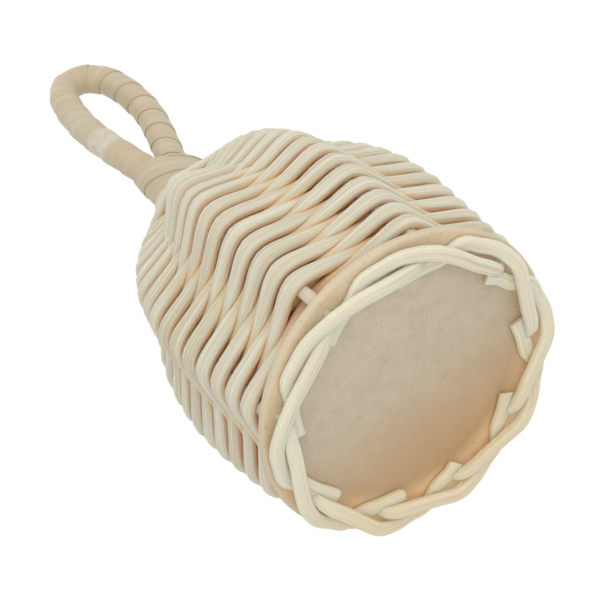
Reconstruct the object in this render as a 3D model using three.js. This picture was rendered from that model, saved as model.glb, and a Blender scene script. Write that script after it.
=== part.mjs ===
// A caxixi: a woven rattle with a flat base disc, a wrapped finger loop and loose seeds inside.
// Millimetres, +Z up. It stands on its border, and the origin is the centre of that resting plane.
import * as THREE from 'three';

// Reeds: the upright stakes, the weaver that runs round them, and the gaps between them
const stakeCount = 9;
const stakeDiameter = 2.4;
const weaverDiameter = 2.5;
const crossingClearance = 0.4;
const restClearance = 0.3;
const rowGap = 0.45;
const coilGap = 1.3;
const weaverLengths = 10;
const weaverEndGap = 0.6;

// The stakes stand wider apart on the side that faces stakeFacing
const stakeFacing = THREE.MathUtils.degToRad(-130.5);
const stakeSpread = THREE.MathUtils.degToRad(6.7);

// Wall: the mid surface that the stakes follow, from the disc up over the shoulder to the neck
const baseRadius = 36.8;
const bellySwell = 1.6;
const bellyHeight = 36;
const bellyReach = 10;
const shoulderReach = 46;
const weaveTopRadius = 12.8;
const neckRadius = 6.7;
const neckHeight = 106;
const neckReach = 16;
const stakeTopRise = 8;

// Base disc, drilled near its edge for the stakes
const discThickness = 2.4;
const holeClearance = 0.6;
const holeEdgeWall = 0.8;

// Border: the foot of each stake turns along the rim under the disc and ends in a cut tail. The bends
// of its route lie so many stake spacings on from its hole.
const footFlatDepth = 0.5;
const footRise = 1.4;
const footBend = 0.12;
const lowStart = 0.27;
const lowMiddle = 0.48;
const lowEnd = 0.74;
const swingStart = 1;
const swingMiddle = 1.25;
const swingEnd = 1.44;
const crossing = 1.62;
const tailStart = 1.8;
const tailMiddle = 2;
const tailEnd = 2.2;
const tailReach = 3.4;
const swingReach = 2.2;

// Finger loop: a reed core, whose two legs fill the neck, wound with a flat strip
const legGap = 1.6;
const legDepth = 5;
const legFlareDepth = 4.8;
const legReach = 6;
const loopCoreDiameter = 5.8;
const coreSwellRise = 9.6;
const loopWidth = 19.7;
const loopWidestHeight = 45.5;
const loopHeight = 69.2;
const loopLean = 4.5;
const sideReach = 12;
const crownReach = 11;
const crownWidth = 8.4;
const stripWidth = 7.2;
const stripThickness = 0.8;
const stripGap = 1.1;
const stripTip = 0.4;
const bindingHeight = 11;
const bindingTilt = 5;
const bindingHighSide = THREE.MathUtils.degToRad(140);

// Seeds: one loose layer on the disc
const seedCount = 14;
const seedDiameter = 6.6;
const seedHeight = 5.6;
const seedGap = 2.4;

// Looks
const reedLook = { color: 0xe9dcc1, roughness: 0.7 };
const coreLook = { color: 0xd8c49c, roughness: 0.75 };
const stripLook = { color: 0xdccaa4, roughness: 0.6 };
const discLook = { color: 0xc9b496, roughness: 0.85 };
const seedLook = { color: 0x5a3a22, roughness: 0.5 };

// Facets
const weaverSides = 4;
const weaverStepsPerStake = 3;
const stakeSides = 5;
const stakeWallSteps = 10;
const stakeSplineSteps = 2;
const coreSides = 8;
const coreSteps = 54;
const stripStepsPerTurn = 16;
const bindingStepsPerTurn = 24;
const discSides = 48;
const holeSides = 8;
const seedSides = 8;
const seedRings = 5;
const wallSamples = 4000;
const wrapSearchStep = 0.3;

// Sizes that follow from the ones above
const bellyRadius = baseRadius + bellySwell;
const stakeRadius = stakeDiameter / 2;
const weaverRadius = weaverDiameter / 2;
const weaveDepth = stakeRadius + weaverRadius + crossingClearance;
const rowPitch = weaverDiameter + rowGap;
const coilPitch = weaverDiameter + coilGap;
const strandStep = stakeDiameter + crossingClearance;
const borderLow = stakeRadius - footFlatDepth;
const borderHigh = borderLow + strandStep;
const discRecess = borderHigh + stakeRadius + restClearance;
const discTop = discRecess + discThickness;
const firstRowHeight = discTop + restClearance + weaverRadius;
const bindingInnerRadius = neckRadius + stakeRadius + restClearance;
const bindingBottom = neckHeight + restClearance;
const bindingTop = bindingBottom + bindingHeight;
const neckCoreRadius = (neckRadius - stakeRadius - restClearance - legGap / 2) / 2;
const legX = legGap / 2 + neckCoreRadius;
const stripPitch = stripWidth + stripGap;
const wrapInnerRadius = loopCoreDiameter / 2 + restClearance;
const loopTop = neckHeight + loopHeight;

const caxixi = new THREE.Group();

function addPiece(name, geometry, look) {
  geometry.computeVertexNormals();
  const material = new THREE.MeshStandardMaterial({ ...look, metalness: 0 });
  const mesh = new THREE.Mesh(geometry, material);
  mesh.name = name;
  caxixi.add(mesh);
  return mesh;
}

// A closed skin around a row of rings, with both ends capped; each ring turns right-handed about the path
function loft(rings) {
  const sides = rings[0].length;
  const positions = rings.flat().flatMap((point) => [point.x, point.y, point.z]);
  const faces = [];
  for (let ring = 0; ring + 1 < rings.length; ring++) {
    for (let side = 0; side < sides; side++) {
      const next = (side + 1) % sides;
      const a = ring * sides + side;
      const b = ring * sides + next;
      const c = a + sides;
      const d = b + sides;
      faces.push(a, b, d, a, d, c);
    }
  }
  const last = (rings.length - 1) * sides;
  for (let side = 1; side + 1 < sides; side++) {
    faces.push(0, side + 1, side);
    faces.push(last, last + side, last + side + 1);
  }
  const geometry = new THREE.BufferGeometry();
  geometry.setAttribute('position', new THREE.Float32BufferAttribute(positions, 3));
  geometry.setIndex(faces);
  return geometry;
}

function tangentsAlong(points) {
  return points.map((point, i) => {
    const before = points[Math.max(i - 1, 0)];
    const after = points[Math.min(i + 1, points.length - 1)];
    return after.clone().sub(before).normalize();
  });
}

// Rings of a round reed along a path; the first corner of each ring lies startAngle from its outward direction
function reedRings(points, outwards, radiusAt, sides, startAngle) {
  const tangents = tangentsAlong(points);
  return points.map((point, i) => {
    const tangent = tangents[i];
    const outward = outwards[i].clone().addScaledVector(tangent, -outwards[i].dot(tangent)).normalize();
    const across = tangent.clone().cross(outward);
    return Array.from({ length: sides }, (_, side) => {
      const angle = startAngle + (side / sides) * 2 * Math.PI;
      return point
        .clone()
        .addScaledVector(outward, radiusAt(i) * Math.cos(angle))
        .addScaledVector(across, radiusAt(i) * Math.sin(angle));
    });
  });
}

// The least distance between corners of rings that are at least half a turn apart
function leastGap(rings, stepsPerTurn) {
  let least = Infinity;
  for (let i = 0; i < rings.length; i++) {
    for (let j = i + Math.ceil(stepsPerTurn / 2); j < rings.length; j++) {
      for (const a of rings[i]) {
        for (const b of rings[j]) {
          least = Math.min(least, a.distanceTo(b));
        }
      }
    }
  }
  return least;
}

function radial(angle) {
  return new THREE.Vector3(Math.cos(angle), Math.sin(angle), 0);
}

// Where the stakes stand: stake 0 faces stakeFacing, and a share of a stake lies between two of them
function stakeAngle(stake) {
  const turn = (stake / stakeCount) * 2 * Math.PI;
  return stakeFacing + turn + stakeSpread * Math.sin(turn);
}

// Mid surface of the wall, in radius and height
const wall = new THREE.CurvePath();
wall.add(new THREE.CubicBezierCurve(
  new THREE.Vector2(baseRadius, discRecess),
  new THREE.Vector2(baseRadius, discRecess + bellyReach),
  new THREE.Vector2(bellyRadius, bellyHeight - bellyReach),
  new THREE.Vector2(bellyRadius, bellyHeight),
));
wall.add(new THREE.CubicBezierCurve(
  new THREE.Vector2(bellyRadius, bellyHeight),
  new THREE.Vector2(bellyRadius, bellyHeight + shoulderReach),
  new THREE.Vector2(neckRadius, neckHeight - neckReach),
  new THREE.Vector2(neckRadius, neckHeight),
));
const wallLength = wall.getLength();

// How far along the wall, from the underside of the disc, the first point lies that passes the test
function wallDistance(test) {
  for (let sample = 0; sample <= wallSamples; sample++) {
    const share = sample / wallSamples;
    if (test(wall.getPointAt(share))) {
      return share * wallLength;
    }
  }
  return wallLength;
}

// A point of the wall, moved along the wall's outward direction, which comes with it
function wallPoint(distance, angle, offset) {
  const share = Math.min(distance / wallLength, 1);
  const place = wall.getPointAt(share);
  const along = wall.getTangentAt(share);
  const outward = radial(angle).multiplyScalar(along.y);
  outward.z = -along.x;
  const point = radial(angle).multiplyScalar(place.x);
  point.z = place.y;
  return { point: point.addScaledVector(outward, offset), outward };
}

const discDistance = wallDistance((place) => place.y >= discTop);
const weaveStart = wallDistance((place) => place.y >= firstRowHeight);
const weaveEnd = wallDistance((place) => place.y > bellyHeight && place.x <= weaveTopRadius);
const weaveRows = Math.floor((weaveEnd - weaveStart) / rowPitch);

// How far up the wall the woven rows have climbed at a stake position
function weaveClimb(stake) {
  return weaveStart + (stake / stakeCount) * rowPitch;
}

// The distance between neighbouring stakes, round the wall, at the height of a stake position
function stakeSpacing(stake) {
  const { point } = wallPoint(weaveClimb(stake), 0, 0);
  return (2 * Math.PI * point.x) / stakeCount;
}

// A length of weaver from one stake position to another: distanceAt says how far up the wall it runs,
// and offsetAt how far out of it
function weaverRings(from, to, distanceAt, offsetAt) {
  const steps = Math.round((to - from) * weaverStepsPerStake);
  const points = [];
  const outwards = [];
  for (let step = 0; step <= steps; step++) {
    const stake = from + ((to - from) * step) / steps;
    const { point, outward } = wallPoint(distanceAt(stake), stakeAngle(stake), offsetAt(stake));
    points.push(point);
    outwards.push(outward);
  }
  return reedRings(points, outwards, () => weaverRadius, weaverSides, 0);
}

// The weaver goes over one stake and under the next. Its lengths meet on the inner side of a stake, and
// the last one runs on to the outer side of the next stake, where the closing rounds take over.
function addWeavers() {
  const lastStake = weaveRows * stakeCount;
  const stakesPerLength = 2 * Math.floor(lastStake / weaverLengths / 2);
  const wave = (stake) => weaveDepth * Math.cos(Math.PI * stake);
  let from = 1;
  for (let length = 1; length <= weaverLengths; length++) {
    const end = from + stakesPerLength + (length === weaverLengths ? 1 : 0);
    const rings = weaverRings(from, end - weaverEndGap / stakeSpacing(end), weaveClimb, wave);
    addPiece(`weaver_${String(length).padStart(2, '0')}`, loft(rings), reedLook);
    from = end;
  }
  return from;
}

// The last rounds lie outside all the stakes and close the top up to the neck
function addClosingCoil(from) {
  const rise = wallLength - weaverRadius - restClearance - weaveClimb(from);
  const rounds = rise / coilPitch;
  const climb = (stake) => weaveClimb(from) + ((stake - from) / stakeCount) * coilPitch;
  const rings = weaverRings(from, from + rounds * stakeCount, climb, () => weaveDepth);
  addPiece('closing_coil', loft(rings), reedLook);
  const gap = leastGap(rings, stakeCount * weaverStepsPerStake);
  console.log(`closing_coil least gap to itself ${gap.toFixed(2)} mm`);
}

// Below its hole a stake turns in and along the rim, low under the one before it, swings out past the foot of
// the next stake, back in above that stake's low run, and flat under the disc, where its tail ends
function borderPoints(stake) {
  const outer = baseRadius + swingReach;
  const inner = baseRadius - strandStep;
  const bendEase = stakeRadius / 2;
  const route = [
    { ahead: tailEnd, radius: inner - tailReach, height: borderHigh },
    { ahead: tailMiddle, radius: inner - tailReach / 2, height: borderHigh },
    { ahead: tailStart, radius: inner, height: borderHigh },
    { ahead: crossing, radius: baseRadius, height: borderHigh },
    { ahead: swingEnd, radius: outer - bendEase, height: borderHigh - restClearance },
    { ahead: swingMiddle, radius: outer, height: borderLow + footRise },
    { ahead: swingStart, radius: (outer + baseRadius) / 2, height: borderLow },
    { ahead: lowEnd, radius: (inner + baseRadius) / 2, height: borderLow },
    { ahead: lowMiddle, radius: inner, height: borderLow },
    { ahead: lowStart, radius: inner, height: borderLow + restClearance },
    { ahead: footBend, radius: (inner + baseRadius) / 2, height: borderLow + footRise },
    { ahead: 0, radius: baseRadius, height: discRecess },
  ];
  return route.map(({ ahead, radius, height }) => {
    const point = radial(stakeAngle(stake - ahead)).multiplyScalar(radius);
    point.z = height;
    return point;
  });
}

// One stake: its border end, then through the disc, up the wall, in to the neck and up inside the binding
function addStake(stake) {
  const angle = stakeAngle(stake);
  const knots = borderPoints(stake);
  for (let step = 0; step <= stakeWallSteps; step++) {
    const distance = discDistance + ((wallLength - discDistance) * step) / stakeWallSteps;
    knots.push(wallPoint(distance, angle, 0).point);
  }
  knots.push(radial(angle).multiplyScalar(neckRadius).setZ(neckHeight + stakeTopRise));
  const path = new THREE.CatmullRomCurve3(knots, false, 'centripetal');
  const points = path.getPoints((knots.length - 1) * stakeSplineSteps);
  const outwards = points.map((point) => new THREE.Vector3(point.x, point.y, 0).normalize());
  const flatSideDown = -Math.PI / 2;
  const rings = reedRings(points, outwards, () => stakeRadius, stakeSides, flatSideDown);
  for (const corner of rings.flat()) {
    corner.z = Math.max(corner.z, 0);
  }
  addPiece(`stake_${stake + 1}`, loft(rings), reedLook);
}

function circle(centre, radius, sides) {
  return Array.from({ length: sides }, (_, side) => {
    const corner = radial((side / sides) * 2 * Math.PI).multiplyScalar(radius).add(centre);
    return new THREE.Vector2(corner.x, corner.y);
  });
}

// The disc reaches out past the stakes, and each stake comes down through its own hole near the edge
function addBaseDisc() {
  const holeRadius = stakeRadius + holeClearance;
  const middle = new THREE.Vector3();
  const outline = new THREE.Shape(circle(middle, baseRadius + holeRadius + holeEdgeWall, discSides));
  for (let stake = 0; stake < stakeCount; stake++) {
    const place = radial(stakeAngle(stake)).multiplyScalar(baseRadius);
    outline.holes.push(new THREE.Path(circle(place, holeRadius, holeSides)));
  }
  const geometry = new THREE.ExtrudeGeometry(outline, { depth: discThickness, bevelEnabled: false });
  geometry.translate(0, 0, discRecess);
  addPiece('base_disc', geometry, discLook);
}

// Centre line of the loop: up one leg, round the crown and down the other; it leans to +X as it rises
function loopCurve() {
  const flareHeight = bindingTop - legFlareDepth;
  const widest = neckHeight + loopWidestHeight;
  const lean = (height) => (loopLean * (height - flareHeight)) / (loopTop - flareHeight);
  const at = (x, z) => new THREE.Vector3(x, 0, z);
  const leaning = (x, z) => at(x + lean(z), z);
  const crown = leaning(0, loopTop);
  const legUp = (side) => new THREE.CubicBezierCurve3(
    at(side * legX, flareHeight),
    at(side * legX, flareHeight + legReach),
    leaning((side * loopWidth) / 2, widest - sideReach),
    leaning((side * loopWidth) / 2, widest),
  );
  const halfCrown = (side) => new THREE.CubicBezierCurve3(
    leaning((side * loopWidth) / 2, widest),
    leaning((side * loopWidth) / 2, widest + crownReach),
    at(crown.x + side * crownWidth, loopTop),
    crown,
  );
  const reversed = (curve) => new THREE.CubicBezierCurve3(curve.v3, curve.v2, curve.v1, curve.v0);
  const loop = new THREE.CurvePath();
  loop.add(new THREE.LineCurve3(at(legX, neckHeight - legDepth), at(legX, flareHeight)));
  loop.add(legUp(1));
  loop.add(halfCrown(1));
  loop.add(reversed(halfCrown(-1)));
  loop.add(reversed(legUp(-1)));
  loop.add(new THREE.LineCurve3(at(-legX, flareHeight), at(-legX, neckHeight - legDepth)));
  return loop;
}

const loop = loopCurve();
const loopLength = loop.getLength();
const loopSide = new THREE.Vector3(0, 1, 0);

// The core swells from its thin neck ends to its loop thickness once the legs have left the binding
function addHandleCore() {
  const points = loop.getSpacedPoints(coreSteps);
  const outwards = points.map(() => loopSide);
  const radiusAt = (i) => {
    const swellStart = bindingTop + bindingTilt;
    const swell = THREE.MathUtils.smoothstep(points[i].z, swellStart, swellStart + coreSwellRise);
    return THREE.MathUtils.lerp(neckCoreRadius, loopCoreDiameter / 2, swell);
  };
  addPiece('handle_core', loft(reedRings(points, outwards, radiusAt, coreSides, 0)), coreLook);
}

// A point beside the loop's centre line, at a distance along it, an angle round it and a radius from it
function besideLoop(distance, angle, radius) {
  const share = distance / loopLength;
  const inward = loopSide.clone().cross(loop.getTangentAt(share));
  return loop
    .getPointAt(share)
    .addScaledVector(inward, radius * Math.cos(angle))
    .addScaledVector(loopSide, radius * Math.sin(angle));
}

// The edges of a flat strip that winds its way from one end of a length to the other. Both ends of the
// strip taper to a tip, so that the winding starts and stops square.
function windStrip(from, to, stepsPerTurn) {
  const travel = to - from + stripWidth - 2 * stripTip;
  const turns = Math.floor(travel / stripPitch);
  const steps = turns * stepsPerTurn;
  return Array.from({ length: steps + 1 }, (_, step) => {
    const middle = from - stripWidth / 2 + stripTip + (travel * step) / steps;
    const lower = Math.max(from, middle - stripWidth / 2);
    const upper = Math.min(to, middle + stripWidth / 2);
    return { lower, upper, angle: (step / stepsPerTurn) * 2 * Math.PI };
  });
}

// The top of the binding is tilted, so its height changes round the neck
function bindingTopAt(angle) {
  return bindingTop + bindingTilt * Math.cos(angle - bindingHighSide);
}

// One unbroken flat strip wound round the core, from the binding up round the crown and back down
function addHandleWrap() {
  const outerRadius = wrapInnerRadius + stripThickness;
  const clearsLegs = (distance) => {
    const share = distance / loopLength;
    return loop.getPointAt(share).distanceTo(loop.getPointAt(1 - share)) > 2 * outerRadius + restClearance;
  };
  const clearsBinding = (distance) =>
    Array.from({ length: stripStepsPerTurn }, (_, step) => {
      const point = besideLoop(distance, (step / stripStepsPerTurn) * 2 * Math.PI, outerRadius);
      return point.z > bindingTopAt(Math.atan2(point.y, point.x)) + restClearance;
    }).every(Boolean);
  let start = legDepth;
  while (!clearsLegs(start) || !clearsBinding(start)) {
    start += wrapSearchStep;
  }
  let end = loopLength - legDepth;
  while (!clearsLegs(end) || !clearsBinding(end)) {
    end -= wrapSearchStep;
  }
  const rings = windStrip(start, end, stripStepsPerTurn).map(({ lower, upper, angle }) => {
    const across = [lower, (lower + upper) / 2, upper];
    const outer = across.map((distance) => besideLoop(distance, -angle, outerRadius));
    const inner = across.map((distance) => besideLoop(distance, -angle, wrapInnerRadius));
    return [...outer, ...inner.reverse()];
  });
  addPiece('handle_wrap', loft(rings), stripLook);
  console.log(`handle_wrap least gap to itself ${leastGap(rings, stripStepsPerTurn).toFixed(2)} mm`);
}

// The same flat strip, wound round the stake tops and both legs at the neck. It starts level, and its turns
// tilt more and more as they climb, so that one side ends higher.
function addNeckBinding() {
  const outerRadius = bindingInnerRadius + stripThickness;
  const corner = (angle, radius, height) => {
    const climbed = (height - bindingBottom) / bindingHeight;
    const tilted = bindingBottom + climbed * (bindingTopAt(angle) - bindingBottom);
    return radial(angle).multiplyScalar(radius).setZ(tilted);
  };
  const rings = windStrip(bindingBottom, bindingTop, bindingStepsPerTurn).map(({ lower, upper, angle }) => [
    corner(-angle, outerRadius, lower),
    corner(-angle, outerRadius, upper),
    corner(-angle, bindingInnerRadius, upper),
    corner(-angle, bindingInnerRadius, lower),
  ]);
  addPiece('neck_binding', loft(rings), stripLook);
  console.log(`neck_binding least gap to itself ${leastGap(rings, bindingStepsPerTurn).toFixed(2)} mm`);
}

// The seeds lie in a sunflower pattern, so that each can rise straight up past the others. Its closest
// two lie leastSpacing times its spread apart.
function addSeeds() {
  const goldenTurn = Math.PI * (3 - Math.sqrt(5));
  const leastSpacing = 1.6;
  const spread = (seedDiameter + seedGap) / leastSpacing;
  for (let seed = 1; seed <= seedCount; seed++) {
    const geometry = new THREE.SphereGeometry(seedDiameter / 2, seedSides, seedRings);
    geometry.rotateX(Math.PI / 2);
    geometry.scale(1, 1, seedHeight / seedDiameter);
    const mesh = addPiece(`seed_${String(seed).padStart(2, '0')}`, geometry, seedLook);
    const place = radial(seed * goldenTurn).multiplyScalar(spread * Math.sqrt(seed));
    mesh.position.copy(place.setZ(discTop + restClearance + seedHeight / 2));
  }
}

addBaseDisc();
for (let stake = 0; stake < stakeCount; stake++) {
  addStake(stake);
}
addClosingCoil(addWeavers());
addHandleCore();
addHandleWrap();
addNeckBinding();
addSeeds();

export default caxixi;
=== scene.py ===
import math

import bpy
import numpy as np
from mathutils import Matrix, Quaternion, Vector


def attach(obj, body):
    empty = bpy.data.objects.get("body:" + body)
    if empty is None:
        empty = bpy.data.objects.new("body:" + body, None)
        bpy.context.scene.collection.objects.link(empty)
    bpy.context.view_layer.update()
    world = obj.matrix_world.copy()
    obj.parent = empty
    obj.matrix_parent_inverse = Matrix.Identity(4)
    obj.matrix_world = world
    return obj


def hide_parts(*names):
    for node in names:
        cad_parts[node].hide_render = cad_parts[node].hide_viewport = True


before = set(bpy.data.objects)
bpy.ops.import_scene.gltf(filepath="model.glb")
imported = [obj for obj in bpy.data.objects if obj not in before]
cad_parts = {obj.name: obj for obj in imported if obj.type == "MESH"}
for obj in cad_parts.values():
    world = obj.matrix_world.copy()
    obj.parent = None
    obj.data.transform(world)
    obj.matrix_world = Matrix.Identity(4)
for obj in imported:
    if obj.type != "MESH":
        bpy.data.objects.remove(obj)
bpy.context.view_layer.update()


# Base disc
# A round plate of raw fibreboard that closes the bottom of the basket. It is sawn from a sheet, a little
# larger on one side, eased at its edges and drilled near its rim, where the stakes come down through it.
mm = 0.001
disc_underside = 5.0
disc_thickness = 2.4
disc_radius = 39.4
disc_grow = 0.036
disc_edge_round = 1.1
disc_edge_steps = 6
disc_inner_radii = (0.5, 8, 16, 24, 31, 36)
disc_sides = 240
# The disc grows toward the warm side, and its colour there takes painted warm shade; the other side takes
# painted light, and near the rim a painted golden glow of bounce light.
warm_side = (0.404, 0.915, 0.0)
warm_from = -2
warm_to = 28
painted_light_from = -6
painted_light_to = -26
glow_from = 29
glow_to = 35
board_tan = "#CDBFA6"
board_warm_shade = "#C29C70"
board_bright = "#D5C8AF"
board_bounce_light = "#FBDAAC"
board_grey = "#BDAF96"
board_pale_fleck = "#DDD0B8"
board_dark_fleck = "#B29670"


def linear(hex_colour):
    """Turn an sRGB hex colour into linear red, green, blue and a full alpha, by the sRGB curve."""
    srgb = np.array([int(hex_colour[at:at + 2], 16) for at in (1, 3, 5)]) / 255
    straight = np.where(srgb <= 0.04045, srgb / 12.92, ((srgb + 0.055) / 1.055) ** 2.4)
    return (*straight.tolist(), 1.0)


def new_material(name):
    """Make a node material whose tree is still empty."""
    material = bpy.data.materials.new(name)
    material.use_nodes = True
    material.node_tree.nodes.clear()
    return material


def add_node(material, kind, settings, inputs):
    """Add one node. Settings are its own properties. An input is a value, an output that feeds it, or a node
    whose first output feeds it."""
    tree = material.node_tree
    node = tree.nodes.new("ShaderNode" + kind)
    for name, value in settings.items():
        setattr(node, name, value)
    for name, value in inputs.items():
        source = value.outputs[0] if isinstance(value, bpy.types.Node) else value
        if isinstance(source, bpy.types.NodeSocket):
            tree.links.new(source, node.inputs[name])
        else:
            node.inputs[name].default_value = source
    return node


def add_piece(name, rings, along, girth, depth, material):
    """Skin a stack of closed rings, which turn right-handed about the way from the first to the last.
    Neighbouring rings are joined by a band of four-sided faces, and a point in the middle of the first and
    of the last ring closes each end. UV holds millimetres along the piece and round it, and depth is kept
    per point."""
    count, sides = rings.shape[:2]
    points = np.concatenate([rings.reshape(-1, 3), rings[:1].mean(1), rings[-1:].mean(1)])
    ring, side = np.meshgrid(np.arange(count - 1), np.arange(sides), indexing="ij")
    following = (side + 1) % sides
    corners = [ring * sides + side, ring * sides + following,
               (ring + 1) * sides + following, (ring + 1) * sides + side]
    bands = np.stack(corners, -1).reshape(-1, 4)
    column = np.arange(sides)
    next_column = (column + 1) % sides
    last_ring = (count - 1) * sides
    first_cap = np.stack([np.full(sides, count * sides), next_column, column], -1)
    last_cap = np.stack([np.full(sides, count * sides + 1), last_ring + column, last_ring + next_column], -1)

    mesh = bpy.data.meshes.new(name)
    mesh.from_pydata((points * mm).tolist(), [], bands.tolist() + first_cap.tolist() + last_cap.tolist())
    far = np.stack([along[ring], along[ring], along[ring + 1], along[ring + 1]], -1)
    share = np.stack([side, side + 1, side + 1, side], -1) * girth / sides
    band_uv = np.stack([far, share], -1).reshape(-1, 2)
    cap_share = np.stack([column, column, column], -1).reshape(-1) * girth / sides
    cap_uv = [np.stack([np.full(sides * 3, end), cap_share], -1) for end in (along[0], along[-1])]
    uv = mesh.uv_layers.new(name="millimetres")
    uv.data.foreach_set("uv", np.concatenate([band_uv, *cap_uv]).ravel())
    depths = np.broadcast_to(depth, (count, sides))
    depth_values = np.concatenate([depths.ravel(), depths[:1].mean(1), depths[-1:].mean(1)])
    mesh.attributes.new("depth", "FLOAT", "POINT").data.foreach_set("value", depth_values)
    smooth = np.concatenate([np.ones(len(bands), bool), np.zeros(2 * sides, bool)])
    mesh.polygons.foreach_set("use_smooth", smooth)
    mesh.materials.append(material)
    mesh.update()
    piece = bpy.data.objects.new(name, mesh)
    bpy.context.scene.collection.objects.link(piece)
    return piece


# Raw medium-density fibreboard, sanded: matt, even tan, with paler and darker fibre flecks under a millimetre
# long. One side is painted warmer and darker, as painted warm shade, and the other side painted brighter, as
# painted light. Near its rim a golden glow is painted, as painted bounce light off the reeds that reaches it
# there.
fleck_size = 0.9
mottle_size = 5
cloud_size = 14
grit_height = 0.08
per_metre = 1 / mm
fibreboard = new_material("raw_fibreboard")
place = add_node(fibreboard, "TexCoord", {}, {}).outputs["Object"]
fleck = add_node(fibreboard, "TexNoise", {},
                 {"Vector": place, "Scale": per_metre / fleck_size, "Detail": 4.0, "Roughness": 0.7})
mottle = add_node(fibreboard, "TexNoise", {},
                  {"Vector": place, "Scale": per_metre / mottle_size, "Detail": 5.0, "Roughness": 0.65})
cloud = add_node(fibreboard, "TexNoise", {},
                 {"Vector": place, "Scale": per_metre / cloud_size, "Detail": 3.0})
flat = add_node(fibreboard, "VectorMath", {"operation": "MULTIPLY"}, {0: place, 1: (1.0, 1.0, 0.0)})
reach = add_node(fibreboard, "VectorMath", {"operation": "LENGTH"}, {0: flat}).outputs["Value"]
toward = add_node(fibreboard, "VectorMath", {"operation": "DOT_PRODUCT"}, {0: place, 1: warm_side})
side = toward.outputs["Value"]
# Painted light: the side away from the warm side is painted brighter.
painted_light = add_node(fibreboard, "MapRange", {},
                  {"Value": side, "From Min": painted_light_from * mm, "From Max": painted_light_to * mm})
mottled = add_node(fibreboard, "MapRange", {},
                   {"Value": mottle, "From Min": 0.42, "From Max": 0.68, "To Max": 0.55})
# Painted warm shade: toward the warm side the board is painted warmer and darker, in patches.
warm = add_node(fibreboard, "MapRange", {},
                {"Value": side, "From Min": warm_from * mm, "From Max": warm_to * mm})
patchy = add_node(fibreboard, "MapRange", {},
                  {"Value": cloud, "From Min": 0.3, "From Max": 0.7, "To Min": 0.85, "To Max": 1.15})
painted_warm_shade = add_node(fibreboard, "Math", {"operation": "MULTIPLY", "use_clamp": True}, {0: warm, 1: patchy})
# Painted bounce light: a golden glow is painted near the rim, most on the warm side.
near_rim = add_node(fibreboard, "MapRange", {"interpolation_type": "SMOOTHSTEP"},
                    {"Value": reach, "From Min": glow_from * mm, "From Max": glow_to * mm})
glow_side = add_node(fibreboard, "MapRange", {},
                     {"Value": side, "From Min": warm_from * mm, "From Max": warm_to * mm,
                      "To Min": 0.35, "To Max": 0.95})
painted_bounce_light = add_node(fibreboard, "Math", {"operation": "MULTIPLY"}, {0: near_rim, 1: glow_side})
edge = add_node(fibreboard, "MapRange", {},
                {"Value": reach, "From Min": (disc_radius - disc_edge_round) * mm,
                 "From Max": disc_radius * mm, "To Max": 0.7})
dark = add_node(fibreboard, "MapRange", {},
                {"Value": fleck, "From Min": 0.42, "From Max": 0.30, "To Max": 0.55})
pale = add_node(fibreboard, "MapRange", {},
                {"Value": fleck, "From Min": 0.58, "From Max": 0.72, "To Max": 0.22})
board = linear(board_tan)
for share, colour in [(painted_light, board_bright), (mottled, board_grey), (painted_warm_shade, board_warm_shade),
                      (painted_bounce_light, board_bounce_light), (edge, board_bright), (dark, board_dark_fleck),
                      (pale, board_pale_fleck)]:
    board = add_node(fibreboard, "MixRGB", {}, {"Fac": share, "Color1": board, "Color2": linear(colour)})
grit = add_node(fibreboard, "Bump", {}, {"Strength": 0.25, "Distance": grit_height * mm, "Height": fleck})
shader = add_node(fibreboard, "BsdfPrincipled", {}, {"Base Color": board, "Roughness": 0.88, "Normal": grit})
add_node(fibreboard, "OutputMaterial", {}, {"Surface": shader})


def facing_share(angle, side_angle):
    """One on a given side and nothing on the opposite one: the square of half of one plus the cosine of the
    angle from that side."""
    return (0.5 + 0.5 * np.cos(angle - side_angle)) ** 2


def disc_rings():
    """A turned profile: out along the underside, round the eased edge, and back in along the top. The disc
    grows by the share that faces the warm side."""
    arc = np.linspace(0, math.pi / 2, disc_edge_steps)
    inside = np.array(disc_inner_radii)
    straight = disc_radius - disc_edge_round
    low = disc_underside
    high = disc_underside + disc_thickness
    radius = np.concatenate([inside, straight + disc_edge_round * np.sin(arc),
                             straight + disc_edge_round * np.cos(arc), inside[::-1]])
    height = np.concatenate([np.full(inside.size, low), low + disc_edge_round * (1 - np.cos(arc)),
                             high - disc_edge_round * (1 - np.sin(arc)), np.full(inside.size, high)])
    turn = np.linspace(0, 2 * math.pi, disc_sides, endpoint=False)
    warm_angle = math.atan2(warm_side[1], warm_side[0])
    grown = radius[:, None] * (1 + disc_grow * facing_share(turn, warm_angle))
    level = np.broadcast_to(height[:, None], grown.shape)
    return np.stack([grown * np.cos(turn), grown * np.sin(turn), level], -1), np.cumsum(radius)


board_rings, board_along = disc_rings()
disc = add_piece("fibreboard_disc", board_rings, board_along, 2 * math.pi * disc_radius, 0.0, fibreboard)
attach(disc, "basket")
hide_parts("base_disc")


# Stakes and border
# Nine round reeds, peeled rattan core, stand in the disc and carry the weave up to the neck. Below the disc
# each one is bent along the rim, past its neighbour and back in, and its cut tail lies on the disc.
stake_count = 9
stake_facing = math.radians(-130.5)
stake_spread = math.radians(6.7)
stake_thick = 2.6
stake_wide = 3.1
stake_top = 107
base_radius = 36.8
belly_radius = 38.4
belly_height = 36
belly_reach = 10
shoulder_reach = 46
neck_radius = 6.7
neck_height = 106
neck_reach = 16
wall_steps = 900
wall_knot_count = 11
wall_sway = 1.2
sway_side = math.radians(-55)
sway_low = 22
sway_length = 86
border_thick = 2.1
border_wide = 3.6
border_low = 1.25
border_cross = 2.65
border_high = 3.75
border_inner = 33.6
border_outer = 38.2
border_shift = (0.0, 0.9)
border_tuck = 0.26
tuck_side = math.radians(-160)
bend_ease = 0.3
swing_start = 0.5
foot_inset = 3.2
foot_drop = 0.2
tail_turn = 2.22
tail_uneven = 0.1
tail_wave = 2.4
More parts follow.
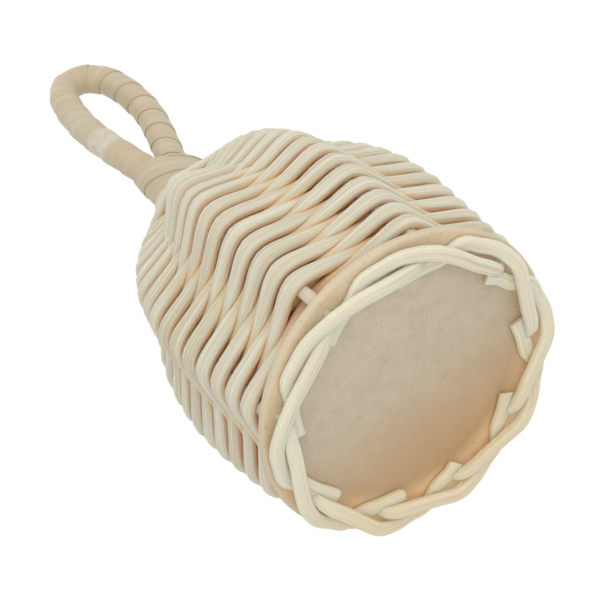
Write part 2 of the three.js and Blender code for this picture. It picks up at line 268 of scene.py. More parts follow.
tail_reach = 2.7
tail_slant = 0.5
tail_cut = 3.0
steps_per_bend = 12
rising_bends = 2
bends_before_wall = 3
# Depths that set the reed's painted honey shade: in the wall, in the border, and more on the border's side
# that faces the disc.
wall_deep = 0.45
border_deep = 0.5
border_shade = 0.12
reed_sides = 20
reed_flatness = 0.72
border_flatness = 0.58
thick_uneven = 0.04
thick_wave = 37
wide_uneven = 0.11
wide_wave = 53
facet_count = 6
facet_depth = 0.015
facet_twist = 0.04
stake_streak_step = 500
# The honey colour is painted shade deep in the wall, and the gold colour is painted golden light on the warm
# side below the disc.
reed_pale = "#D9D5C1"
reed_grey = "#C9BFA3"
reed_honey_shade = "#F0BA82"
reed_white = "#E7E7DB"
reed_ivory = "#ECE8D2"
reed_gold_light = "#E3C38A"
reed_line = "#B7A684"


def stake_angle(stake):
    """Stakes stand at even angles, moved apart on the facing side by a sine of the same turn."""
    turn = 2 * math.pi * stake / stake_count
    return stake_facing + turn + stake_spread * np.sin(turn)


def bezier(points, share):
    """The cubic Bezier through four points: each weighed by its Bernstein polynomial of the share."""
    share = share[:, None]
    weights = [(1 - share) ** 3, 3 * share * (1 - share) ** 2, 3 * share ** 2 * (1 - share), share ** 3]
    return sum(weight * np.asarray(point, float) for weight, point in zip(weights, points))


def distance_along(path):
    """How far along a path each of its points lies: the running sum of the steps between them."""
    return np.concatenate([[0], np.cumsum(np.linalg.norm(np.diff(path, axis=0), axis=1))])


wall_share = np.linspace(0, 1, wall_steps)
wall_curve = np.concatenate([
    bezier([(base_radius, disc_underside), (base_radius, disc_underside + belly_reach),
            (belly_radius, belly_height - belly_reach), (belly_radius, belly_height)], wall_share),
    bezier([(belly_radius, belly_height), (belly_radius, belly_height + shoulder_reach),
            (neck_radius, neck_height - neck_reach), (neck_radius, neck_height)], wall_share)[1:],
])
wall_distance = distance_along(wall_curve)
wall_slope = np.gradient(wall_curve, wall_distance, axis=0)


def wall_point(distance, angle, offset):
    """A point of the wall: its profile at a distance along it, moved out along the profile's normal and
    turned to an angle about the axis. One side is pulled in by a cosine squared of the height: all of it at
    the sway's low height and a sway length above, and nothing half way between. The outward normal comes
    with the point."""
    radius, height, run, rise = (np.interp(distance, wall_distance, column)
                                 for column in (*wall_curve.T, *wall_slope.T))
    pull = wall_sway * np.cos(math.pi * (height - sway_low) / sway_length) ** 2
    radius = radius - pull * facing_share(angle, sway_side)
    ray = np.stack([np.cos(angle), np.sin(angle), np.zeros_like(angle)], -1)
    up = np.array([0, 0, 1.0])
    outward = ray * rise[:, None] - up * run[:, None]
    outward /= np.linalg.norm(outward, axis=1, keepdims=True)
    return ray * radius[:, None] + up * height[:, None] + outward * offset[:, None], outward


def smooth_path(knots, per_span):
    """A curve through knots: cubic Hermite spans whose parameter grows with the root of the knot spacing."""
    stop = np.concatenate([[0], np.cumsum(np.sqrt(np.linalg.norm(np.diff(knots, axis=0), axis=1)))])
    slope = np.gradient(knots, stop, axis=0)
    at = np.interp(np.arange((len(knots) - 1) * per_span + 1) / per_span, np.arange(len(knots)), stop)
    span = np.clip(np.searchsorted(stop, at, side="right") - 1, 0, len(knots) - 2)
    size = (stop[span + 1] - stop[span])[:, None]
    share = (at - stop[span])[:, None] / size
    start = knots[span] * (1 + 2 * share) + slope[span] * size * share
    end = knots[span + 1] * (3 - 2 * share) - slope[span + 1] * size * (1 - share)
    return start * (1 - share) ** 2 + end * share ** 2


def wander(distance, wavelength, phase):
    """A slow unevenness between minus one and one: the mean of three sines whose wavelengths don't meet."""
    turn = 2 * math.pi * distance / wavelength
    waves = [(1, 1), (1.618, 2.3), (0.437, 5.1)]
    return sum(np.sin(rate * turn + shift * phase) for rate, shift in waves) / len(waves)


def carry_reed(path, outward, thick, wide, phase, flatness):
    """Carry a flattened oval along a path: half its thickness in the outward direction times a cosine, and
    half its width across times a sine, both raised to a power that squares the oval. It is a little uneven
    along the reed, and faint facets twist slowly round it. The seam of the UV lies on the inner side."""
    along = distance_along(path)
    tangent = np.gradient(path, along, axis=0)
    tangent /= np.linalg.norm(tangent, axis=1, keepdims=True)
    outward = outward - tangent * np.sum(outward * tangent, 1, keepdims=True)
    outward /= np.linalg.norm(outward, axis=1, keepdims=True)
    across = np.cross(tangent, outward)
    turn = np.linspace(0, 2 * math.pi, reed_sides, endpoint=False) + math.pi
    power = np.broadcast_to(flatness, along.shape)[:, None]
    out_wave, across_wave = (np.sign(wave) * np.abs(wave) ** power for wave in (np.cos(turn), np.sin(turn)))
    half_thick = thick / 2 * (1 + thick_uneven * wander(along, thick_wave, phase))
    half_wide = wide / 2 * (1 + wide_uneven * wander(along, wide_wave, phase + 1))
    facet = 1 + facet_depth * np.cos(facet_count * turn + facet_twist * along[:, None] + phase)
    out_reach = (facet * out_wave * half_thick[:, None])[..., None]
    across_reach = (facet * across_wave * half_wide[:, None])[..., None]
    rings = path[:, None] + outward[:, None] * out_reach + across[:, None] * across_reach
    return rings, along, tangent


# Peeled rattan core reed: pale ivory, matt with a faint sheen, with grey patches and fine white and brown
# grooves along its fibres. Deep in the wall it is painted honey brown, as painted shade, because light
# reaches it only off other reeds. Below the disc it is paler ivory, and on the warm side it is painted
# golden, as painted warm light. Grooves are drawn about 0.4 mm apart.
groove_length = 45
groove_spacing = 0.4
groove_height = 0.22
patch_length = 60
patch_width = 8
ivory_from = 8
ivory_to = 4
light_depth = 3
reed = new_material("peeled_rattan_reed")
lengthwise = add_node(reed, "UVMap", {"uv_map": "millimetres"}, {})
groove_place = add_node(reed, "Mapping", {},
                        {"Vector": lengthwise, "Scale": (1 / groove_length, 1 / groove_spacing, 1)})
groove = add_node(reed, "TexNoise", {},
                  {"Vector": groove_place, "Scale": 1.0, "Detail": 2.0, "Roughness": 0.6})
patch_place = add_node(reed, "Mapping", {},
                       {"Vector": lengthwise, "Scale": (1 / patch_length, 1 / patch_width, 1)})
patch = add_node(reed, "TexNoise", {}, {"Vector": patch_place, "Scale": 1.0, "Detail": 2.0})
place = add_node(reed, "TexCoord", {}, {}).outputs["Object"]
height = add_node(reed, "SeparateXYZ", {}, {0: place}).outputs["Z"]
side = add_node(reed, "VectorMath", {"operation": "DOT_PRODUCT"}, {0: place, 1: warm_side}).outputs["Value"]
depth_kept = add_node(reed, "Attribute", {"attribute_name": "depth"}, {}).outputs["Fac"]
grey = add_node(reed, "MapRange", {}, {"Value": patch, "From Min": 0.35, "From Max": 0.7, "To Max": 0.75})
white = add_node(reed, "MapRange", {}, {"Value": groove, "From Min": 0.48, "From Max": 0.66, "To Max": 0.75})
# Below the disc the reed is paler ivory.
ivory_below = add_node(reed, "MapRange", {},
                 {"Value": height, "From Min": ivory_from * mm, "From Max": ivory_to * mm, "To Max": 0.6})
# Painted warm light: below the disc, the warm side of the reed is painted golden.
gold_light_side = add_node(reed, "MapRange", {},
                     {"Value": side, "From Min": warm_from * mm, "From Max": warm_to * mm, "To Max": 0.5})
painted_gold_light = add_node(reed, "Math", {"operation": "MULTIPLY"}, {0: ivory_below, 1: gold_light_side})
line = add_node(reed, "MapRange", {}, {"Value": groove, "From Min": 0.44, "From Max": 0.32, "To Max": 0.4})
# Painted shade: the deeper a point is kept, the more it is painted honey brown.
painted_honey_shade = add_node(reed, "MapRange", {"interpolation_type": "SMOOTHSTEP"},
                 {"Value": depth_kept, "From Min": 0.56, "From Max": 0.78, "To Max": 0.8})
reed_colour = linear(reed_pale)
for share, colour in [(grey, reed_grey), (white, reed_white), (ivory_below, reed_ivory), (painted_gold_light, reed_gold_light),
                      (line, reed_line), (painted_honey_shade, reed_honey_shade)]:
    reed_colour = add_node(reed, "MixRGB", {},
                           {"Fac": share, "Color1": reed_colour, "Color2": linear(colour)})
rough = add_node(reed, "MapRange", {},
                 {"Value": groove, "From Min": 0.3, "From Max": 0.7, "To Min": 0.85, "To Max": 0.7})
bump = add_node(reed, "Bump", {}, {"Strength": 0.55, "Distance": groove_height * mm, "Height": groove})
shader = add_node(reed, "BsdfPrincipled", {},
                  {"Base Color": reed_colour, "Roughness": rough, "Normal": bump, "Specular IOR Level": 0.3,
                   "Subsurface Weight": 0.85, "Subsurface Radius": (1.0, 0.5, 0.25),
                   "Subsurface Scale": light_depth * mm})
add_node(reed, "OutputMaterial", {}, {"Surface": shader})


def border_knots(stake):
    """The bends of one stake below the disc, from its tail to its hole: so many stake spacings on from the
    hole, a radius, and a height. No two tails are cut to the same length. The border lies a little off the
    middle, and swings out less on one side, by the share that faces it."""
    tail_end = tail_turn + tail_uneven * math.sin(tail_wave * stake + 1)
    bends = np.array([
        (tail_end, border_inner - tail_reach, border_high),
        (2.0, border_inner - tail_reach / 2, border_high),
        (1.8, border_inner, border_high),
        (1.62, base_radius + swing_start, border_high),
        (1.44, border_outer - 2 * bend_ease, border_high - bend_ease),
        (1.25, border_outer, border_cross),
        (1.0, (border_outer + base_radius) / 2, border_low),
        (0.74, (border_inner + base_radius) / 2, border_low),
        (0.48, border_inner, border_low),
        (0.27, border_inner, border_low + bend_ease),
        (0.12, border_inner + bend_ease, border_cross),
        (0.02, base_radius - foot_inset, disc_underside - foot_drop),
    ])
    angle = stake_angle(stake - bends[:, 0])
    tuck = border_tuck * facing_share(angle, tuck_side)
    radius = bends[:, 1] - tuck * np.clip(bends[:, 1] - border_inner, 0, None)
    x = radius * np.cos(angle) + border_shift[0]
    y = radius * np.sin(angle) + border_shift[1]
    return np.stack([x, y, bends[:, 2]], -1)


def stake_rings(stake):
    """A reed along the border bends, up the wall and into the neck. Its section goes from lying in the border
    to standing in the wall over a few bends. The tail is cut at a slant: its last millimetres slide along the
    reed by a share of how far up a point lies."""
    angle = stake_angle(stake)
    climb = np.linspace(disc_thickness, wall_distance[-1], wall_knot_count)
    wall_knots, _ = wall_point(climb, np.full(climb.size, angle), np.zeros(climb.size))
    top = [(neck_radius * math.cos(angle), neck_radius * math.sin(angle), stake_top)]
    bends = border_knots(stake)
    path = smooth_path(np.concatenate([bends, wall_knots, top]), steps_per_bend)
    outward = path * np.array([1, 1, 0])
    bend = np.arange(len(path)) / steps_per_bend
    upright = np.clip((bend - len(bends) + bends_before_wall) / rising_bends, 0, 1)
    thick = border_wide + (stake_thick - border_wide) * upright
    wide = border_thick + (stake_wide - border_thick) * upright
    flatness = border_flatness + (reed_flatness - border_flatness) * upright
    rings, along, tangent = carry_reed(path, outward, thick, wide, stake, flatness)
    slide = np.clip(1 - along / tail_cut, 0, 1) * tail_slant
    rise = rings[..., 2] - path[:, None, 2]
    # The depth kept here sets the reed's painted honey shade; on the border the side that faces the disc
    # takes a little more.
    facing_disc = np.clip(rise / (border_thick / 2), -1, 1)
    lying = 1 - upright[:, None]
    deep = upright[:, None] * wall_deep + lying * (border_deep + border_shade * facing_disc)
    return rings + tangent[:, None] * (slide[:, None] * rise)[..., None], along, deep


stake_girth = math.pi * (stake_thick + stake_wide) / 2
for stake in range(stake_count):
    rings, along, deep = stake_rings(stake)
    streaks = along + stake_streak_step * stake
    piece = add_piece(f"stake_reed_{stake + 1}", rings, streaks, stake_girth, deep, reed)
    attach(piece, "basket")
    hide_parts(f"stake_{stake + 1}")


# Weave
# The same reed, soaked and woven in one spiral: over one stake and under the next, row on row up the wall.
# It is joined from ten lengths whose ends meet behind a stake.
weaver_thick = 2.7
weaver_wide = 3.3
shown_spread = 0.9
hidden_spread = 2.2
weave_depth = 2.85
weave_sag = 0.065
sag_power = 1.4
row_pitch = 2.95
row_uneven = 0.32
row_wave = 3.7
row_phase = 1.3
depth_uneven = 0.12
depth_wave = 5.3
depth_phase = 0.4
# The sides of a weaver that face a gap or the inside count as deep, so that they take painted honey shade.
gap_depth = 0.64
gap_turn = 0.4
stake_bend = (0.13, 0.05)
first_row_height = 8.5
weave_start = float(np.interp(first_row_height, wall_curve[:, 1], wall_distance))
weaver_count = 10
stakes_per_length = 26
steps_per_stake = 18
weaver_streak_step = 900


def weaver_path(first, last, pitch, wave):
    """The weaver at stake positions from first to last: it climbs one pitch each time round, and stands out
    of the wall by the wave, a little uneven in height and depth. Between two stakes it runs straighter than
    the round wall, by a power of a sine, and at the stakes it is pressed wider, by a cosine squared."""
    stake = np.linspace(first, last, int((last - first) * steps_per_stake) + 1)
    climb = weave_start + row_pitch * first / stake_count + (stake - first) * pitch / stake_count
    climb += row_uneven * wander(stake, row_wave, row_phase)
    wall_radius = np.interp(climb, wall_distance, wall_curve[:, 0])
    sag = weave_sag * wall_radius * np.abs(np.sin(math.pi * stake)) ** sag_power
    offset = wave(stake) - sag + depth_uneven * wander(stake, depth_wave, depth_phase)
    spread = np.where(wave(stake) > 0, shown_spread, hidden_spread)
    wide = weaver_wide + spread * np.cos(math.pi * stake) ** 2
    return wall_point(climb, stake_angle(stake), offset), offset, wide


def depth_in_wall(offset, thick):
    """How deep a point lies on every ring: its share of the way from the outer face of the wall to the inner
    one, or more where it faces a gap or the inside."""
    turn = np.linspace(0, 2 * math.pi, reed_sides, endpoint=False) + math.pi
    out = offset[:, None] + thick / 2 * np.cos(turn)
    share = (weave_depth + thick / 2 - out) / (2 * weave_depth + thick)
    return np.maximum(share, gap_depth - gap_turn * np.cos(turn))


def over_and_under(stake):
    """Out over the even stakes and in behind the odd ones: a cosine, and shares of its third and fifth
    overtones, which bend it sharper at the stakes."""
    third, fifth = stake_bend
    turn = math.pi * stake
    bent = np.cos(turn) + third * np.cos(3 * turn) + fifth * np.cos(5 * turn)
    return weave_depth * bent / (1 + third + fifth)


weaver_girth = math.pi * (weaver_thick + weaver_wide) / 2
first = 1
for length in range(1, weaver_count + 1):
    last = first + stakes_per_length + (1 if length == weaver_count else 0)
    (path, outward), offset, wide = weaver_path(first, last, row_pitch, over_and_under)
    rings, along, _ = carry_reed(path, outward, weaver_thick, wide, length, reed_flatness)
    deep = depth_in_wall(offset, weaver_thick)
    streaks = along + weaver_streak_step * length
    piece = add_piece(f"weaver_reed_{length:02d}", rings, streaks, weaver_girth, deep, reed)
    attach(piece, "basket")
    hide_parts(f"weaver_{length:02d}")
    first = last


# Closing rounds
# One more length of the same reed, which goes on from the end of the weaver. It is laid round outside all the
# stakes to draw the top in and close it up to the neck, and its end is tucked in through the wall.
coil_pitch = 3.9
coil_below_neck = 5.4
coil_tuck = 4.5
coil_phase = 7


def outside_all(stake):
    """On the outer side of every stake, until the end is tucked in through the wall."""
    return weave_depth - coil_tuck * np.clip(stake - stake[-1] + 1, 0, 1)


coil_climb = wall_distance[-1] - coil_below_neck - (weave_start + row_pitch * first / stake_count)
last = first + stake_count * coil_climb / coil_pitch
(path, outward), offset, wide = weaver_path(first, last, coil_pitch, outside_all)
rings, along, _ = carry_reed(path, outward, weaver_thick, wide, coil_phase, reed_flatness)
coil = add_piece("closing_reed", rings, along, weaver_girth, depth_in_wall(offset, weaver_thick), reed)
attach(coil, "basket")
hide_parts("closing_coil")


# Loop core
# A bent reed under the wrapping, which gives the finger loop its shape. Its thin ends stand in the neck
# between the stake tops.
leg_x = 3.0
leg_bottom = 101
flare_height = 114
leg_reach = 6
loop_width = 19.2
widest_height = 151.5
loop_top = 174.4
loop_lean = 5.1
side_reach = 12
crown_reach = 11
crown_width = 8.4
loop_curve_steps = 400
loop_steps = 600
core_thick = 5.8
core_neck_thick = 5.0
core_swell_start = 113
core_swell_end = 124
core_phase = 3
# How deep the loop core counts for the reed's painted honey shade.
core_deep = 0.6


def look_up(at, far, values):
    """Each column of values at the distances asked for, straight between the ones that are known."""
    return np.stack([np.interp(at, far, column) for column in values.T], -1)


def leaning(x, height):
    """A point of the loop, moved to +X by the loop's lean times its share of the way up."""
    return x + loop_lean * (height - flare_height) / (loop_top - flare_height), 0, height


def half_loop(side):
    """One side of the loop, from its foot to its top: a straight foot, and two Bezier curves that meet where
    the loop is widest."""
    share = np.linspace(0, 1, loop_curve_steps)
    foot = side * leg_x
    widest = side * loop_width / 2
    leg = bezier([(foot, 0, flare_height), (foot, 0, flare_height + leg_reach),
                  leaning(widest, widest_height - side_reach), leaning(widest, widest_height)], share)
    crown = bezier([leaning(widest, widest_height), leaning(widest, widest_height + crown_reach),
                    leaning(side * crown_width, loop_top), leaning(0, loop_top)], share)
    return np.concatenate([[(foot, 0, leg_bottom)], leg, crown[1:]])


loop_curve = np.concatenate([half_loop(1), half_loop(-1)[::-1][1:]])
curve_far = distance_along(loop_curve)
loop_far = np.linspace(0, curve_far[-1], loop_steps)
loop_line = look_up(loop_far, curve_far, loop_curve)
loop_side = np.array([0, 1.0, 0])
swell = np.clip((loop_line[:, 2] - core_swell_start) / (core_swell_end - core_swell_start), 0, 1)
core_width = core_neck_thick + (core_thick - core_neck_thick) * swell * swell * (3 - 2 * swell)
sideways = np.broadcast_to(loop_side, loop_line.shape)
rings, along, _ = carry_reed(loop_line, sideways, core_width, core_width, core_phase, reed_flatness)
core = add_piece("loop_core_reed", rings, along, math.pi * core_thick, core_deep, reed)
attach(core, "basket")
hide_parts("handle_core")


# Loop wrapping
# A flat strip of cane, split from the rattan's skin side and shaved thin. It is wound up one leg, round the
# crown and down the other, each turn lapping over the edge of the one before.
strip_thick = 0.45
strip_sides = 28
strip_edge_power = 0.3
strip_face_power = 0.7
strip_end_width = 0.3
lap_lift = 0.35
wrap_start = 9.0
wrap_pitch = 8.2
wrap_lap = 0.7
wrap_gap = 0.45
wrap_steps = 48
wrap_girth = 13.0
strip_tan = "#CABFA4"
strip_warm = "#C9AE84"
strip_pale = "#DBD4C2"
worn_white = "#DCD9CE"
worn_place = (-6.4, 0.0, 137.5)
worn_size = 6.4
worn_through = 0.7


def strip_profile():
    """The rounded oblong of a flat strip, one unit wide and one thick: powers of a cosine and a sine."""
    turn = np.linspace(0, 2 * math.pi, strip_sides, endpoint=False)
    waves = [(np.cos(turn), strip_edge_power), (np.sin(turn), strip_face_power)]
    return [np.sign(wave) * np.abs(wave) ** power / 2 for wave, power in waves]


# Shaved flat cane: smooth and satin, straw coloured, with fine straight fibres along the strip and a slow
# change of tone. One rubbed place on a leg is whitened. Fibres are drawn about 0.35 mm apart.
fibre_length = 30
fibre_spacing = 0.35
fibre_height = 0.08
tone_length = 40
tone_width = 9
fuzz_size = 2.2
cane = new_material("shaved_flat_cane")
lengthwise = add_node(cane, "UVMap", {"uv_map": "millimetres"}, {})
fibre_place = add_node(cane, "Mapping", {},
                       {"Vector": lengthwise, "Scale": (1 / fibre_length, 1 / fibre_spacing, 1)})
fibre = add_node(cane, "TexNoise", {}, {"Vector": fibre_place, "Scale": 1.0, "Detail": 3.0})
tone_place = add_node(cane, "Mapping", {},
                      {"Vector": lengthwise, "Scale": (1 / tone_length, 1 / tone_width, 1)})
tone = add_node(cane, "TexNoise", {}, {"Vector": tone_place, "Scale": 1.0, "Detail": 2.0})
place = add_node(cane, "TexCoord", {}, {}).outputs["Object"]
fuzz = add_node(cane, "TexNoise", {},
                {"Vector": place, "Scale": per_metre / fuzz_size, "Detail": 5.0, "Roughness": 0.7})
from_worn = add_node(cane, "VectorMath", {"operation": "DISTANCE"},
                     {0: place, 1: [value * mm for value in worn_place]})
warm = add_node(cane, "MapRange", {}, {"Value": tone, "From Min": 0.35, "From Max": 0.7, "To Max": 0.9})
pale = add_node(cane, "MapRange", {}, {"Value": fibre, "From Min": 0.5, "From Max": 0.75, "To Max": 0.5})
worn_near = add_node(cane, "MapRange", {"interpolation_type": "SMOOTHSTEP"},
                     {"Value": from_worn.outputs["Value"], "From Min": worn_size * mm,
                      "From Max": worn_through * worn_size * mm})
worn_fuzz = add_node(cane, "MapRange", {},
                     {"Value": fuzz, "From Min": 0.3, "From Max": 0.6, "To Min": 0.1, "To Max": 0.8})
worn = add_node(cane, "Math", {"operation": "MULTIPLY"}, {0: worn_near, 1: worn_fuzz})
cane_colour = linear(strip_tan)
for share, colour in [(warm, strip_warm), (pale, strip_pale), (worn, worn_white)]:
    cane_colour = add_node(cane, "MixRGB", {},
                           {"Fac": share, "Color1": cane_colour, "Color2": linear(colour)})
fibres = add_node(cane, "Bump", {}, {"Strength": 0.3, "Distance": fibre_height * mm, "Height": fibre})
shader = add_node(cane, "BsdfPrincipled", {}, {"Base Color": cane_colour, "Roughness": 0.5, "Normal": fibres})
add_node(cane, "OutputMaterial", {}, {"Surface": shader})


def wind_strip(start, stop, pitch, lap, steps):
    """A strip that moves one pitch along a length each time round: the middle and width of its section at
    each step, kept inside the length, and how far round it has gone."""
    travel = stop - start + pitch - lap
    turns = round(travel / pitch)
    share = np.linspace(0, 1, turns * steps + 1)
    middle = start - (pitch - lap) / 2 + travel * share
    low = np.clip(middle - (pitch + lap) / 2, start, stop - strip_end_width)
    high = np.clip(middle + (pitch + lap) / 2, start + strip_end_width, stop)
    return (low + high) / 2, high - low, 2 * math.pi * turns * share


def wrap_rings():
    """The strip's section carried round the loop: along the loop, and out from it by a radius that falls from
    the lapped edge to the lying edge."""
    stop = float(loop_far[-1]) - wrap_start
    middle, width, angle = wind_strip(wrap_start, stop, wrap_pitch, wrap_lap, wrap_steps)
    across, up = strip_profile()
    far = middle[:, None] + width[:, None] * across
    inner = np.interp(far, loop_far, core_width / 2) + wrap_gap
    radius = inner + strip_thick / 2 + strip_thick * up + lap_lift * (0.5 - across)
    centre = look_up(far, loop_far, loop_line)
    slope = look_up(far, loop_far, np.gradient(loop_line, loop_far, axis=0))
    inward = np.cross(np.broadcast_to(loop_side, slope.shape), slope)
    inward /= np.linalg.norm(inward, axis=-1, keepdims=True)
    turn = -angle[:, None, None]
    rings = centre + radius[..., None] * (inward * np.cos(turn) + loop_side * np.sin(turn))
    return rings[:, ::-1], angle * (core_thick / 2 + wrap_gap + strip_thick)


rings, along = wrap_rings()
wrap = add_piece("cane_wrapping", rings, along, wrap_girth, 0.0, cane)
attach(wrap, "basket")
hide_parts("handle_wrap")


# Neck binding
# The same cane, wound slantwise round the stake tops and both legs of the loop, and tucked under itself. It
# lies level on the weave below, stands higher on one side and is drawn in on another.
binding_inner = 7.9
binding_bottom = 98.5
binding_top = 116.2
binding_pitch = 8.2
binding_lap = 1.0
binding_tilt = 7.0
binding_lean = 1.0
binding_settle = 10.0
binding_flare = 1.0
binding_draw = 1.8
binding_drawn_side = math.radians(50)
binding_high_side = math.radians(140)
binding_start_side = math.radians(-107)
binding_steps = 90
binding_girth = 18.0


def binding_rings():
    """The strip's section carried round the neck: up the axis, tilted so that one side stands higher, and
    drawn in on another by a cosine squared. Both grow from none at the bottom edge, which lies level on the
    weave, to all of it a settling height above. The bottom edge flares out by a square."""
    middle, width, angle = wind_strip(binding_bottom, binding_top, binding_pitch, binding_lap, binding_steps)
    across, up = strip_profile()
    turn = np.broadcast_to(binding_start_side - angle[:, None], (angle.size, strip_sides))
    level = middle[:, None] + width[:, None] * across
    rise = np.clip((level - binding_bottom) / binding_settle, 0, 1)
    drawn = binding_draw * rise * np.clip(np.cos(turn - binding_drawn_side), 0, 1) ** 2
    inner = binding_inner + binding_flare * (1 - rise) ** 2 - drawn
    radius = inner + strip_thick / 2 + strip_thick * up + lap_lift * (0.5 - across)
    height = level + binding_tilt * rise * np.cos(turn - binding_high_side)
    lean = binding_lean * (level - binding_bottom) / (binding_top - binding_bottom)
    return np.stack([radius * np.cos(turn) + lean, radius * np.sin(turn), height], -1), angle * binding_inner


rings, along = binding_rings()
binding = add_piece("cane_binding", rings, along, binding_girth, 0.0, cane)
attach(binding, "basket")
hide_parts("neck_binding")


# Seeds
# Fourteen dry seeds, loose in the basket, that make the sound. They lie in one layer on the disc, and
# nothing holds them.
seed_count = 14
seed_wide = 6.6
seed_tall = 5.6
seed_clearance = 0.3
seed_spread = 5.625
seed_sides = 32
seed_bands = 20
seed_pole = 0.06
seed_groove_depth = 0.07
seed_groove_width = 0.06
seed_oval = 0.1
seed_oval_turn = 1.7
seed_brown = "#6B4528"
seed_dark = "#3E2614"
seed_pale = "#A07A4E"

# Ripe legume seed: hard smooth coat, satin, mottled from dark to mid brown, with pale specks.
blotch_size = 2.5
speck_size = 0.6
dent_height = 0.15
seed_coat = new_material("dry_seed_coat")
place = add_node(seed_coat, "TexCoord", {}, {}).outputs["Object"]
blotch = add_node(seed_coat, "TexNoise", {},
                  {"Vector": place, "Scale": per_metre / blotch_size, "Detail": 4.0})
speck = add_node(seed_coat, "TexNoise", {}, {"Vector": place, "Scale": per_metre / speck_size, "Detail": 2.0})
dark = add_node(seed_coat, "MapRange", {}, {"Value": blotch, "From Min": 0.4, "From Max": 0.62})
pale = add_node(seed_coat, "MapRange", {},
                {"Value": speck, "From Min": 0.62, "From Max": 0.72, "To Max": 0.6})
seed_colour = linear(seed_brown)
for share, colour in [(dark, seed_dark), (pale, seed_pale)]:
    seed_colour = add_node(seed_coat, "MixRGB", {},
                           {"Fac": share, "Color1": seed_colour, "Color2": linear(colour)})
dents = add_node(seed_coat, "Bump", {}, {"Strength": 0.3, "Distance": dent_height * mm, "Height": blotch})
shader = add_node(seed_coat, "BsdfPrincipled", {},
                  {"Base Color": seed_colour, "Roughness": 0.38, "Normal": dents})
add_node(seed_coat, "OutputMaterial", {}, {"Surface": shader})


def seed_rings(seed):
    """A flattened ball with a shallow groove down one side: latitude rings, whose radius is the sine of the
    latitude, pressed in along one meridian. Its place is on a spiral: the root of its number times the
    spread, turned by the golden angle each time."""
    latitude = np.linspace(seed_pole, math.pi - seed_pole, seed_bands)[:, None]
    turn = np.linspace(0, 2 * math.pi, seed_sides, endpoint=False)
    groove_share = np.exp(-((np.cos(turn - seed) - 1) / seed_groove_width) ** 2)
    oval = 1 - seed_oval * np.sin(turn - seed * seed_oval_turn) ** 2
    radius = seed_wide / 2 * np.sin(latitude) * (1 - seed_groove_depth * groove_share) * oval
    golden_angle = math.pi * (3 - math.sqrt(5))
    x = seed_spread * math.sqrt(seed) * math.cos(seed * golden_angle) + radius * np.cos(turn)
    y = seed_spread * math.sqrt(seed) * math.sin(seed * golden_angle) + radius * np.sin(turn)
    rest = disc_underside + disc_thickness + seed_clearance
    z = np.broadcast_to(rest + seed_tall / 2 * (1 - np.cos(latitude)), x.shape)
    return np.stack([x, y, z], -1), latitude[:, 0]


for seed in range(1, seed_count + 1):
    rings, along = seed_rings(seed)
    piece = add_piece(f"dry_seed_{seed:02d}", rings, along, math.pi * seed_wide, 0.0, seed_coat)
    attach(piece, f"seed_{seed:02d}")
    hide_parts(f"seed_{seed:02d}")


# Camera
# It looks up at the base disc from below and in front, as the photograph does, with a long lens.
camera_place = Vector((-283.4, -334.7, -387.4)) * mm
camera_target = Vector((-16.84, -16.9, 25.19)) * mm
camera_roll = math.radians(-49.1)
camera_lens = 152.4
camera_sensor = 36
camera = bpy.data.objects.new("camera", bpy.data.cameras.new("camera"))
camera.data.sensor_width = camera_sensor
camera.data.lens = camera_lens
camera.location = camera_place
straight_at = (camera_target - camera_place).to_track_quat("-Z", "Y")
camera.rotation_mode = "QUATERNION"
camera.rotation_quaternion = straight_at @ Quaternion((0, 0, 1), camera_roll)
bpy.context.scene.collection.objects.link(camera)
bpy.context.scene.camera = camera


# Floor and light
# A plain pale floor that shows from above only, because the photograph's camera looks from below it; soft
# boxes at the camera, above it in the picture, and over the loop; and an even white surrounding.
floor_half = 1.5
floor_pale = "#F2F1EE"
floor_corners = [(-floor_half, -floor_half, 0), (floor_half, -floor_half, 0),
                 (floor_half, floor_half, 0), (-floor_half, floor_half, 0)]
floor_mesh = bpy.data.meshes.new("floor")
floor_mesh.from_pydata(floor_corners, [], [(0, 1, 2, 3)])
floor = bpy.data.objects.new("floor", floor_mesh)
bpy.context.scene.collection.objects.link(floor)

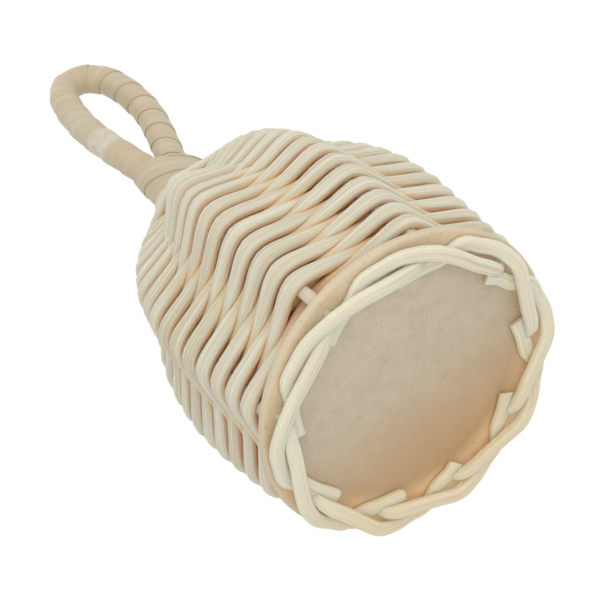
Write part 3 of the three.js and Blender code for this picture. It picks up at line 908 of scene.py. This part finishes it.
# Matt white background paper, made to show from its upper side only.
floor_paper = new_material("pale_floor_paper")
paper = add_node(floor_paper, "BsdfDiffuse", {}, {"Color": linear(floor_pale)})
clear = add_node(floor_paper, "BsdfTransparent", {}, {})
under = add_node(floor_paper, "NewGeometry", {}, {}).outputs["Backfacing"]
one_sided = add_node(floor_paper, "MixShader", {}, {0: under, 1: paper, 2: clear})
add_node(floor_paper, "OutputMaterial", {}, {"Surface": one_sided})
floor_mesh.materials.append(floor_paper)
floor.visible_diffuse = False
floor.visible_glossy = False
floor.visible_transmission = False
floor.visible_shadow = False

surround_light = 0.69
world = bpy.data.worlds.new("white_studio")
bpy.context.scene.world = world
world.use_nodes = True
world.node_tree.nodes.clear()
ray_kind = add_node(world, "LightPath", {}, {}).outputs
straight_ray = add_node(world, "Math", {"operation": "MAXIMUM"},
                        {0: ray_kind["Is Camera Ray"], 1: ray_kind["Is Transmission Ray"]})
seen = add_node(world, "Math", {"operation": "MAXIMUM"}, {0: straight_ray, 1: ray_kind["Is Glossy Ray"]})
light_level = add_node(world, "MapRange", {}, {"Value": seen, "To Min": surround_light})
sky = add_node(world, "Background", {}, {"Color": (1, 1, 1, 1), "Strength": light_level})
add_node(world, "OutputWorld", {}, {"Surface": sky})

box_distance = 1.3
box_size = 1.1
box_target = Vector((0, 0, 70)) * mm
key_rise = 0.75
key_back = 0.65
key_level = 0.17
front_level = 0.28
top_level = 0.15


def add_soft_box(name, direction, level):
    """A square lamp that faces the middle of the basket. Its power gives that level on a surface facing it:
    the level times pi squared times the distance squared."""
    lamp = bpy.data.lights.new(name, "AREA")
    lamp.size = box_size
    lamp.energy = level * math.pi ** 2 * box_distance ** 2
    box = bpy.data.objects.new(name, lamp)
    box.location = box_target + direction.normalized() * box_distance
    box.rotation_euler = (box_target - box.location).to_track_quat("-Z", "Y").to_euler()
    bpy.context.scene.collection.objects.link(box)


camera_up = camera.rotation_quaternion @ Vector((0, 1, 0))
camera_back = camera.rotation_quaternion @ Vector((0, 0, 1))
add_soft_box("key_box", camera_up * key_rise + camera_back * key_back, key_level)
add_soft_box("front_box", camera_back, front_level)
add_soft_box("top_box", Vector((0, 0, 1)), top_level)
bpy.context.scene.view_settings.view_transform = "Standard"
